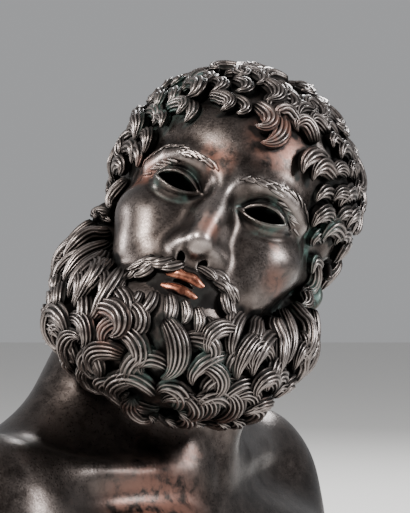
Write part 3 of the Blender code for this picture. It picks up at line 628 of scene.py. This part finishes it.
def add_locks(values, low, voxel, groups):
    """Adds every lock to the grid of distances, as a row of ellipsoids, as the part does."""
    width_share, thick_share, lift_share = lock_profile(np.linspace(0, 1, LOCK_STATIONS))
    for p, t, n, widths, rises, heights in groups:
        for lock in range(len(p)):
            spacing = np.linalg.norm(p[lock, 1] - p[lock, 0])
            for k in range(LOCK_STATIONS):
                radii = (0.80 * spacing, 0.5 * widths[lock] * width_share[k], rises[lock] * thick_share[k])
                centre = p[lock, k] + n[lock, k] * (rises[lock] * lift_share[k] + heights[lock])
                axes = np.stack((t[lock, k], np.cross(n[lock, k], t[lock, k]), n[lock, k]), -1)
                reach = max(radii) + 3 * voxel
                first = np.maximum(np.floor((centre - reach - low) / voxel).astype(int), 0)
                last = np.minimum(np.ceil((centre + reach - low) / voxel).astype(int), values.shape)
                part = tuple(slice(a, b) for a, b in zip(first, last))
                sides = [low[i] + voxel * (np.arange(first[i], last[i]) + 0.5) for i in range(3)]
                local = np.stack(np.meshgrid(*sides, indexing="ij"), -1)
                values[part] = np.minimum(values[part], ellipsoid(local, centre, radii, axes))


def read_grid(values, low, voxel, p):
    """The grid's value at points, by straight lines between its cells."""
    place = np.clip((p - low) / voxel - 0.5, 0, np.array(values.shape) - 1.001)
    cell = place.astype(int)
    share = place - cell
    total = np.zeros(len(p))
    for corner in np.ndindex(2, 2, 2):
        weight = np.prod(np.where(corner, share, 1 - share), axis=1)
        total += weight * values[tuple((cell + corner).T)]
    return total


def mesh_from(values, low, voxel, name):
    grid = openvdb.FloatGrid(float(values.max()))
    grid.copyFromArray(values, tolerance=0.0)
    grid.transform = openvdb.createLinearTransform(voxelSize=voxel)
    points, quads = grid.convertToQuads(0.0)
    mesh = bpy.data.meshes.new(name)
    mesh.from_pydata((points + low + voxel / 2).tolist(), [], quads.tolist())
    return mesh


# Locks as chased ribbons


def resampled(rows, count):
    """A smooth curve through the rows, by cubic segments."""
    padded = np.vstack((2 * rows[0] - rows[1], rows, 2 * rows[-1] - rows[-2]))
    place = np.linspace(0, len(rows) - 1, count)
    k = np.minimum(place.astype(int), len(rows) - 2)
    s = (place - k)[:, None]
    a, b, c, d = (padded[k + i] for i in range(4))
    return 0.5 * (2 * b + (c - a) * s + (2 * a - 5 * b + 4 * c - d) * s**2 + (3 * b - a - 3 * c + d) * s**3)


def section(strands):
    """A lock's section as shares of its half width and its thickness, and how worn each point of it is.
    Its top is grooved between the strands. Grooves and underside get low wear, painted as shade."""
    steps = (0.0, 0.20, 0.50, 0.80)
    around = np.array([(k + step) / strands for k in range(strands) for step in steps] + [1.0])
    ridge = np.abs(np.sin(strands * math.pi * around)) ** 0.85
    size = 1 - GROOVE_DEPTH * (1 - ridge) if strands > 1 else np.ones(len(around))
    top = np.stack((np.cos(math.pi * around), np.sin(math.pi * around)), -1) * size[:, None]
    below = math.pi * (1 + np.array((0.2, 0.4, 0.6, 0.8)))
    # worn bright on the strand tops, nil in the grooves and underneath, where it paints shade
    wear_and_shade = ridge * (0.30 + 0.70 * np.sin(math.pi * around))
    bottom = np.stack((np.cos(below), 0.8 * np.sin(below)), -1)
    return np.vstack((top, bottom)), np.append(wear_and_shade, np.zeros(4))


def tube_faces(size, stations):
    """The faces of a tube of rings with that many points, closed by one point at each end."""
    k = np.arange(size)
    after = (k + 1) % size
    base = (size * np.arange(stations - 1))[:, None]
    quads = np.stack((base + k, base + after, base + size + after, base + size + k), -1).reshape(-1, 4)
    last = size * (stations - 1)
    ends = [(size * stations, b, a) for a, b in zip(k, after)]
    ends += [(size * stations + 1, last + a, last + b) for a, b in zip(k, after)]
    return quads.tolist() + ends


def ribbon(p, n, width, rise, height, strands, stations):
    """One closed lock: its points, how worn and how shaded they are, and its faces."""
    points, normals = resampled(p, stations), unit(resampled(n, stations))
    step = np.linalg.norm(points[1] - points[0])
    along = unit(np.gradient(points, axis=0))
    side = unit(np.cross(normals, along))
    s = np.linspace(0, 1, stations)
    curve = np.sum(np.gradient(along, axis=0) * side, -1) / step
    width_share, thick_share, lift_share = lock_profile(s)
    tip = np.sqrt(np.clip(1 - (np.maximum(s - 0.84, 0) / 0.165) ** 2, 0.03, 1))
    root = np.sqrt(np.clip(1 - (np.maximum(0.08 - s, 0) / 0.083) ** 2, 0.03, 1))
    half = 0.5 * width * width_share * tip * root
    inner = np.minimum(half, 0.80 / np.maximum(np.abs(curve), 1e-6))
    outer = half + 0.35 * (half - inner)
    left, right = np.where(curve > 0, inner, outer), np.where(curve > 0, outer, inner)
    thick = rise * thick_share * tip * root
    bank = (0.35 * np.tanh(curve * half) * np.minimum(4 * s, 1))[:, None]
    level = normals, side
    normals = level[0] * np.cos(bank) + level[1] * np.sin(bank)
    side = level[1] * np.cos(bank) - level[0] * np.sin(bank)
    centre = points + normals * (rise * lift_share + height)[:, None]
    ring, wear_and_shade = section(strands)
    across = np.where(ring[:, 0] > 0, left[:, None], right[:, None]) * ring[:, 0]
    shell = centre[:, None] + side[:, None] * across[..., None]
    shell = shell + normals[:, None] * (thick[:, None] * ring[:, 1])[..., None]
    verts = np.vstack((shell.reshape(-1, 3), centre[0], centre[-1]))
    # low wear near the root paints shade where the lock goes into its bed; its root end point is shaded
    # fully
    worn_and_shaded = (np.clip(0.25 + 4 * s, 0, 1) * (0.75 + 0.25 * s))[:, None] * wear_and_shade
    return verts, np.append(worn_and_shaded, (0, 0.4)), tube_faces(len(ring), stations)


def ribbons(name, groups, strand_choices, stations):
    """All locks of the groups as one mesh object."""
    verts, worn_and_shaded, faces, start = [], [], [], 0
    for p, t, n, widths, rises, heights in groups:
        for lock in range(len(p)):
            strands = strand_choices[lock % len(strand_choices)]
            sizes = widths[lock], rises[lock], heights[lock]
            points, wear_and_shade, polygons = ribbon(p[lock], n[lock], *sizes, strands, stations)
            verts.append(points)
            worn_and_shaded.append(wear_and_shade)
            faces += [tuple(start + i for i in polygon) for polygon in polygons]
            start += len(points)
    mesh = bpy.data.meshes.new(name)
    mesh.from_pydata(np.vstack(verts).tolist(), [], faces)
    store(mesh, "wear_and_shade", np.concatenate(worn_and_shaded))
    return piece(name, mesh)


def store(mesh, name, values):
    """Keeps one number on each point of the mesh."""
    attribute = mesh.attributes.new(name, "FLOAT", "POINT")
    attribute.data.foreach_set("value", values.astype(np.float32))


def chosen(group, keep):
    return tuple(rows[keep] for rows in group)


# Pieces


def piece(name, mesh):
    """A smooth shaded object of the mesh, with its faces turned out."""
    bm = bmesh.new()
    bm.from_mesh(mesh)
    bmesh.ops.recalc_face_normals(bm, faces=bm.faces[:])
    bm.to_mesh(mesh)
    bm.free()
    mesh.shade_smooth()
    obj = bpy.data.objects.new(name, mesh)
    bpy.context.scene.collection.objects.link(obj)
    return obj


def decimated(obj, triangles):
    """The object with about that many triangles, if it has more."""
    count = 2 * len(obj.data.polygons)
    if count <= triangles:
        return obj
    modifier = obj.modifiers.new("fewer faces", "DECIMATE")
    modifier.ratio = triangles / count
    modifier.use_collapse_triangulate = True
    bpy.context.view_layer.update()
    obj.data = bpy.data.meshes.new_from_object(obj.evaluated_get(bpy.context.evaluated_depsgraph_get()))
    obj.modifiers.clear()
    obj.data.shade_smooth()
    return obj


def head_piece():
    """The bare head, with the fillet where it meets the neck."""
    low, high = HEAD_MIDDLE - HEAD_DOWN, HEAD_MIDDLE + HEAD_UP
    values = sampled(head_with_collar, low, high, HEAD_VOXEL)
    return decimated(piece("head", mesh_from(values, low, HEAD_VOXEL, "head")), HEAD_TRIANGLES)


def chest_piece():
    """The neck, shoulders and chest, cut flat at the underside."""
    reach = SHOULDER_WIDTH / 2 + 0.02
    low = np.array((-reach, -reach, -FLOOR_MARGIN))
    high = np.array((reach, reach, HEAD_MIDDLE[2] + 0.06))
    values = sampled(below_head, low, high, CHEST_VOXEL)
    mesh = mesh_from(values, low, CHEST_VOXEL, "neck_and_chest")
    bm = bmesh.new()
    bm.from_mesh(mesh)
    everything = bm.verts[:] + bm.edges[:] + bm.faces[:]
    plane = {"plane_co": (0, 0, 0), "plane_no": (0, 0, -1)}
    cut = bmesh.ops.bisect_plane(bm, geom=everything, clear_outer=True, **plane)
    rim = [e for e in cut["geom_cut"] if isinstance(e, bmesh.types.BMEdge)]
    bmesh.ops.contextual_create(bm, geom=rim)
    bm.to_mesh(mesh)
    bm.free()
    return piece("neck_and_chest", mesh)


def lip_piece(name, upper, stations=49, ring_size=28):
    """A copper lip that tapers to both corners of the mouth."""
    u = np.linspace(-0.985, 0.985, stations)
    high, deep = lip_size(u, upper)
    path = mouth_line(u)
    path[:, 2] += (1 if upper else -1) * (LIP_PART / 2 + high)
    along = unit(np.gradient(path, axis=0))
    forward = unit(np.cross(along, (0, 0, 1)))
    angles = np.arange(ring_size) * math.tau / ring_size
    crease = 1 - 0.035 * np.abs(np.sin(26 * u + 2.0 * np.sin(9 * u)))[:, None]
    front = -np.cos(angles) * np.sign(forward[stations // 2, 1])
    ring = forward[:, None] * (deep[:, None] * np.cos(angles) * crease)[..., None]
    ring = ring + np.array((0, 0, 1)) * (high[:, None] * np.sin(angles))[..., None]
    verts = from_head((path[:, None] + ring).reshape(-1, 3))
    faces = [tuple(range(ring_size)), tuple(ring_size * (stations - 1) + k for k in range(ring_size))]
    for a in range(0, ring_size * (stations - 1), ring_size):
        faces += [(a + k, a + (k + 1) % ring_size, a + ring_size + (k + 1) % ring_size, a + ring_size + k)
                  for k in range(ring_size)]
    mesh = bpy.data.meshes.new(name)
    mesh.from_pydata(verts.tolist(), [], faces)
    # the front of the lip counts as worn; its back, where it sits in its seat, is painted in shade
    store(mesh, "wear_and_shade", np.tile(0.5 + 0.5 * front, stations))
    return piece(name, mesh)


# Facts about the surface that the patina reads, for its wear, its stains and its painted shade

OPEN_REACH = 0.0050  # how far out from a spot its openness is read


def points_of(mesh):
    points, normals = np.empty(3 * len(mesh.vertices)), np.empty(3 * len(mesh.vertices))
    mesh.vertices.foreach_get("co", points)
    mesh.vertices.foreach_get("normal", normals)
    return points.reshape(-1, 3), normals.reshape(-1, 3)


def bulge(field, points, normals, reach=0.0024):
    """Half on flat ground, more on a ridge and less in a hollow."""
    side = unit(np.cross(normals, (0.31, 0.53, 0.79)))
    across = np.cross(normals, side)
    around = [points + reach * way for way in (side, -side, across, -across)]
    return np.clip(0.5 + np.mean([field(p) for p in around], 0) / (0.30 * reach), 0, 1)


# Patches of colour: the middle in the head's frame, and a radius, in metres
RED_PATCHES = (
    ((0.020, -0.090, 0.060), 0.026),
    ((-0.012, -0.096, 0.030), 0.016),
    ((0.004, -0.118, -0.020), 0.014),
    ((0.048, -0.072, -0.030), 0.018),
    ((-0.055, -0.060, 0.010), 0.020),
    ((-0.030, -0.100, -0.110), 0.022),
)
GREEN_PATCHES = (
    ((0.034, -0.082, 0.008), 0.022),
    ((-0.034, -0.082, 0.008), 0.018),
    ((0.062, -0.040, 0.010), 0.030),
    ((0.074, -0.010, -0.020), 0.030),
    ((0.020, -0.100, -0.125), 0.030),
    ((-0.050, -0.050, 0.070), 0.030),
)
CHEST_PATCH = ((0.025, -0.105, 0.115), 0.060)  # red too, its middle in the bust's own frame


def patches(q, places):
    """How much each point lies in the nearest patch, fading out with distance."""
    away = [np.linalg.norm(q - np.array(middle), axis=-1) / radius for middle, radius in places]
    return np.exp(-(np.min(away, 0) ** 2))


def dimmed_wear(q):
    """Cuts the wear round the lips, on the rims of the eyelids and in the ears, which dims them and paints
    shade, most round the lips.
    """
    mouth = np.hypot(q[:, 0] / 0.032, (q[:, 2] + 0.064) / 0.013)
    eye = np.hypot((np.abs(q[:, 0]) - 0.0325) / 0.019, (q[:, 2] - 0.0065) / 0.009)
    ahead = q[:, 1] < -0.05
    in_ear = (ear_share(q) < 1.5) & (np.abs(q[:, 0]) > 0.06)
    return np.where(ahead, np.maximum(0.70 * (mouth < 1), 0.40 * (eye < 1)), 0.45 * in_ear)


def dress(obj, near_grid, field=None):
    """Stores on each point how open, worn, red, green and sunk in a recess it is, for the patina to paint
    wear, stains and shade.
    """
    points, normals = points_of(obj.data)
    q = to_head(points)
    # how open each spot is; the patina paints closed-in spots in shade
    clear = read_grid(*near_grid, points + normals * OPEN_REACH) / OPEN_REACH
    store(obj.data, "openness", np.clip(clear, 0, 1))
    if field:
        # high on ridges for wear, low in hollows where the patina paints shade
        store(obj.data, "wear_and_shade", bulge(field, points, normals) * (1 - dimmed_wear(q)))
    store(obj.data, "red", np.maximum(patches(q, RED_PATCHES), patches(points, (CHEST_PATCH,))))
    store(obj.data, "green", patches(q, GREEN_PATCHES))
    # how far a point lies inside the closed head, in the eyes, nostrils and mouth; painted there as black
    # shade
    recess_shade = np.clip(-head_fields(points)[0] / 0.0035 - 0.3, 0, 1) if field else np.zeros(len(q))
    store(obj.data, "recess_shade", recess_shade)


# Materials


class Nodes:
    """A small helper that adds nodes to one material and links them."""

    def __init__(self, name):
        self.material = bpy.data.materials.new(name)
        self.material.use_nodes = True
        self.tree = self.material.node_tree
        self.shader = self.tree.nodes["Principled BSDF"]

    def put(self, socket, value):
        if isinstance(value, bpy.types.NodeSocket):
            self.tree.links.new(value, socket)
        else:
            socket.default_value = value

    def fact(self, name):
        node = self.tree.nodes.new("ShaderNodeAttribute")
        node.attribute_name = name
        return node.outputs["Fac"]

    def place(self):
        return self.tree.nodes.new("ShaderNodeTexCoord").outputs["Object"]

    def noise(self, scale, detail=4.0, roughness=0.55, distortion=0.0):
        node = self.tree.nodes.new("ShaderNodeTexNoise")
        self.put(node.inputs["Vector"], self.place())
        settings = {"Scale": scale, "Detail": detail, "Roughness": roughness, "Distortion": distortion}
        for key, value in settings.items():
            node.inputs[key].default_value = value
        return node.outputs["Fac"]

    def cells(self, scale):
        node = self.tree.nodes.new("ShaderNodeTexVoronoi")
        self.put(node.inputs["Vector"], self.place())
        node.inputs["Scale"].default_value = scale
        return node.outputs["Distance"]

    def math(self, operation, a, b=0.0, clamp=False):
        node = self.tree.nodes.new("ShaderNodeMath")
        node.operation = operation
        node.use_clamp = clamp
        self.put(node.inputs[0], a)
        self.put(node.inputs[1], b)
        return node.outputs[0]

    def span(self, value, low, high, to_low=0.0, to_high=1.0):
        node = self.tree.nodes.new("ShaderNodeMapRange")
        node.interpolation_type = "SMOOTHSTEP"
        for socket, number in zip(node.inputs[:5], (value, low, high, to_low, to_high)):
            self.put(socket, number)
        return node.outputs[0]

    def mix(self, share, a, b):
        """Mixes two colours, or two numbers, by a share."""
        node = self.tree.nodes.new("ShaderNodeMix")
        colour = isinstance(b, tuple) or (isinstance(b, bpy.types.NodeSocket) and b.type == "RGBA")
        node.data_type = "RGBA" if colour else "FLOAT"
        kind = "RGBA" if colour else "VALUE"
        sockets = [s for s in node.inputs if s.type == kind and s.name in ("A", "B")]
        self.put(node.inputs[0], share)
        self.put(sockets[0], (*a, 1) if isinstance(a, tuple) else a)
        self.put(sockets[1], (*b, 1) if isinstance(b, tuple) else b)
        return next(s for s in node.outputs if s.type == kind and s.enabled)

    def bump(self, height, distance, normal=None):
        node = self.tree.nodes.new("ShaderNodeBump")
        node.inputs["Distance"].default_value = distance
        self.put(node.inputs["Height"], height)
        if normal is not None:
            self.put(node.inputs["Normal"], normal)
        return node.outputs[0]


def bronze_patina(lock=False):
    """Dark bronze, worn bright where hands and weather reach it. Grooves, hollows, closed-in spots and
    recesses are painted in shade black.
    """
    n = Nodes("old bronze locks" if lock else "old bronze")
    wear_and_shade, openness = n.fact("wear_and_shade"), n.fact("openness")
    blotch = n.noise(22, 6, 0.60, 0.5)
    cloud = n.noise(11, 4, 0.55, 0.8)
    mottle = n.noise(95, 7, 0.62, 0.3)
    grain = n.noise(800, 4, 0.6)
    # painted shade: where wear is low in grooves and hollows, and where other parts close in
    groove_shade = n.span(wear_and_shade, 0.45, 0.08) if lock else n.span(wear_and_shade, 0.42, 0.12)
    closeness = n.span(openness, 0.80, 0.20) if lock else n.span(openness, 0.62, 0.12)
    shade = n.math("MAXIMUM", closeness, groove_shade)
    shine = n.span(wear_and_shade, 0.25, 0.95) if lock else n.span(wear_and_shade, 0.48, 0.90)
    shine = n.math("MULTIPLY", shine, n.span(mottle, 0.25, 0.60, 0.45, 1.0))
    tone = n.math("ADD", n.math("MULTIPLY", mottle, 0.50), n.math("MULTIPLY", cloud, 0.50))
    colour = n.mix(n.span(tone, 0.36, 0.64), DARK_BRONZE, BARE_BRONZE)
    colour = n.mix(shine, colour, WORN_BRONZE)
    red = n.math("ADD", n.fact("red"), n.span(blotch, 0.55, 0.72, 0.0, 0.50))
    red = n.math("MULTIPLY", n.span(red, 0.25, 0.95), n.span(mottle, 0.36, 0.58), clamp=True)
    colour = n.mix(n.math("MULTIPLY", red, 0.68), colour, RED_CRUST)
    green = n.math("ADD", n.fact("green"), n.math("MULTIPLY", shade, 0.45))
    patchy = n.span(n.noise(50, 6, 0.6, 0.4), 0.44, 0.64)
    green = n.math("MULTIPLY", n.span(green, 0.25, 1.0), patchy, clamp=True)
    green = n.math("MULTIPLY", green, n.span(wear_and_shade, 0.85, 0.40))
    colour = n.mix(n.math("MULTIPLY", green, 0.55), colour, GREEN_CRUST)
    # painted shade, less where the green lies, and full black deep in the eyes, nostrils and mouth
    dark = n.math("MULTIPLY", shade, n.math("SUBTRACT", 1.0, n.math("MULTIPLY", green, 0.55)))
    dark = n.math("MAXIMUM", n.math("MULTIPLY", dark, 0.93), n.fact("recess_shade"))
    colour = n.mix(dark, colour, SHADE_BLACK)
    n.put(n.shader.inputs["Base Color"], colour)
    crust = n.math("MAXIMUM", n.math("MULTIPLY", red, 0.35), n.math("MULTIPLY", green, 0.6))
    n.put(n.shader.inputs["Metallic"], n.math("SUBTRACT", 0.98, crust))
    rough = n.mix(n.span(grain, 0.35, 0.70), 0.27, 0.42)
    n.put(n.shader.inputs["Roughness"], n.mix(n.math("MAXIMUM", crust, dark), rough, 0.66))
    pits = n.span(n.cells(300), 0.0, 0.22)
    normal = n.bump(pits, 0.00004)
    normal = n.bump(mottle, 0.00016, normal)
    n.put(n.shader.inputs["Normal"], n.bump(grain, 0.00004, normal))
    return n.material


def red_copper():
    """Dull copper, painted in shade at the back of each lip and where other parts close over it."""
    n = Nodes("red copper")
    mottle = n.noise(260, 6, 0.62, 0.4)
    colour = n.mix(n.span(mottle, 0.32, 0.68), DARK_COPPER, BARE_COPPER)
    # painted shade at the back of the lip and in closed-in spots
    colour = n.mix(n.span(n.fact("wear_and_shade"), 0.42, 0.10), colour, (0.030, 0.013, 0.010))
    colour = n.mix(n.span(n.fact("openness"), 0.70, 0.20), colour, (0.008, 0.005, 0.005))
    n.put(n.shader.inputs["Base Color"], colour)
    n.shader.inputs["Metallic"].default_value = 0.95
    n.put(n.shader.inputs["Roughness"], n.mix(mottle, 0.26, 0.44))
    n.put(n.shader.inputs["Normal"], n.bump(mottle, 0.00012))
    return n.material


# Building the object


def lay_locks():
    """The locks of hair, beard, moustache and chin, as in the part."""
    hair = locks(hair_roots(), (HAIR_LENGTH, HAIR_WIDTH, HAIR_RISE), (130, 290), seed=11)
    beard_size = (BEARD_LENGTH, BEARD_WIDTH, BEARD_RISE)
    beard = locks(beard_roots(), beard_size, (130, 300), seed=23, off_mouth=True)
    moustache_size = (MOUSTACHE_LENGTH, MOUSTACHE_WIDTH, MOUSTACHE_RISE)
    moustache = locks(moustache_roots(), moustache_size, (50, 120), seed=5)
    chin_tuft = locks(chin_tuft_roots(), (TUFT_LENGTH, TUFT_WIDTH, TUFT_RISE), (60, 150), seed=8)
    return hair, beard, moustache, chin_tuft


def brow_bed(p):
    """The smooth surface under the strands of the brows."""
    q = folded(to_head(p))
    return smooth_min(smooth_min(skull_and_face(q), brows(q), 0.012), nose(q), 0.011) * (HEAD / MODEL_HEAD)


def brow_strands():
    return locks(brow_roots(), (BROW_LENGTH, BROW_WIDTH, BROW_RISE), (5, 25), seed=7, bed=brow_bed)


def grid_of_everything(groups):
    """A coarse grid of distances from the whole bust, which tells how open each spot is, for the painted
    shade and the green patina in hollows.
    """
    reach = max(SHOULDER_WIDTH / 2, HEAD_ACROSS + 0.75 * HEAD) + 0.03
    low = np.array((-reach, -reach, -FLOOR_MARGIN))
    high = np.array((reach, reach, HEAD_MIDDLE[2] + 0.75 * HEAD))
    values = sampled(bare_bust, low, high, NEAR_VOXEL)
    add_locks(values, low, NEAR_VOXEL, groups)
    return values, low, NEAR_VOXEL


def halves(name, group, strand_choices, stations):
    """The locks on the head's own right and left, a piece each."""
    right = to_head(group[0][:, 0])[:, 0] < 0
    sides = ((name + "_right", right), (name + "_left", ~right))
    return [ribbons(label, [chosen(group, keep)], strand_choices, stations) for label, keep in sides]


def build_bust():
    hair, beard, moustache, chin_tuft = lay_locks()
    near_grid = grid_of_everything((hair, beard, moustache, chin_tuft))
    bare = [head_piece(), chest_piece()]
    tufts = halves("hair", hair, HAIR_STRANDS, RIBBON_STATIONS)
    tufts += halves("beard", beard, BEARD_STRANDS, RIBBON_STATIONS + 2)
    tufts.append(ribbons("moustache", [moustache, chin_tuft], MOUSTACHE_STRANDS, RIBBON_STATIONS))
    tufts.append(ribbons("eyebrows", [brow_strands()], (1,), BROW_STATIONS))
    copper, patina, dark_patina = red_copper(), bronze_patina(), bronze_patina(lock=True)
    lips = [lip_piece("copper_upper_lip", True), lip_piece("copper_lower_lip", False)]
    for obj, field in zip(bare, (head_with_collar, below_head)):
        dress(obj, near_grid, field)
        obj.data.materials.append(patina)
    for obj in tufts:
        dress(obj, near_grid)
        obj.data.materials.append(dark_patina)
    for obj, node in zip(lips, ("upper_lip", "lower_lip")):
        dress(obj, near_grid)
        obj.data.materials.append(copper)
        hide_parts(node)
    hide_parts("bronze_bust")
    for obj in bare + tufts + lips:
        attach(obj, "root")


# Floor, light and camera


def plain_material(name, colour, roughness):
    material = bpy.data.materials.new(name)
    material.use_nodes = True
    shader = material.node_tree.nodes["Principled BSDF"]
    shader.inputs["Base Color"].default_value = (*colour, 1)
    shader.inputs["Roughness"].default_value = roughness
    return material


def floor():
    mesh = bpy.data.meshes.new("floor")
    bm = bmesh.new()
    bmesh.ops.create_grid(bm, x_segments=1, y_segments=1, size=FLOOR_SIZE)
    bm.to_mesh(mesh)
    bm.free()
    obj = bpy.data.objects.new("floor", mesh)
    bpy.context.scene.collection.objects.link(obj)
    mesh.materials.append(plain_material("pale floor", (0.78, 0.77, 0.75), 0.75))


def area_light(name, place, size, power, colour=(1, 1, 1)):
    """A round soft light that faces the head."""
    light = bpy.data.lights.new(name, "AREA")
    light.shape = "DISK"
    light.size = size
    light.energy = power
    light.color = colour
    obj = bpy.data.objects.new(name, light)
    obj.location = place
    aim = Vector(HEAD_MIDDLE) - obj.location
    obj.rotation_euler = aim.to_track_quat("-Z", "Y").to_euler()
    bpy.context.scene.collection.objects.link(obj)


def lights():
    world = bpy.data.worlds.new("studio")
    bpy.context.scene.world = world
    world.use_nodes = True
    world.node_tree.nodes["Background"].inputs["Color"].default_value = (0.80, 0.81, 0.83, 1)
    world.node_tree.nodes["Background"].inputs["Strength"].default_value = 0.46
    area_light("key", (-0.80, -1.15, 1.50), 0.45, 58, (1.0, 0.97, 0.93))
    area_light("right", (1.35, -0.45, 0.90), 0.50, 34, (0.95, 0.98, 1.0))
    area_light("left", (-1.30, 0.10, 0.75), 0.45, 18)
    area_light("back", (0.35, 1.35, 1.25), 0.60, 20)


def camera():
    """Level with the head, on the viewer's side, framed as the photograph is."""
    lens_data = bpy.data.cameras.new("camera")
    lens_data.sensor_fit = "VERTICAL"
    lens_data.sensor_height = 36
    lens_data.lens = lens_data.sensor_height * CAMERA_DISTANCE / (PHOTO_SIZE[1] * METRES_PER_PIXEL)
    obj = bpy.data.objects.new("camera", lens_data)
    right = (PHOTO_SIZE[0] / 2 - HEAD_PIXEL[0]) * METRES_PER_PIXEL
    up = (HEAD_PIXEL[1] - PHOTO_SIZE[1] / 2) * METRES_PER_PIXEL
    obj.location = HEAD_MIDDLE + np.array((right, -CAMERA_DISTANCE, up))
    obj.rotation_euler = (math.radians(90), 0, 0)
    bpy.context.scene.collection.objects.link(obj)
    bpy.context.scene.camera = obj


build_bust()
floor()
lights()
camera()
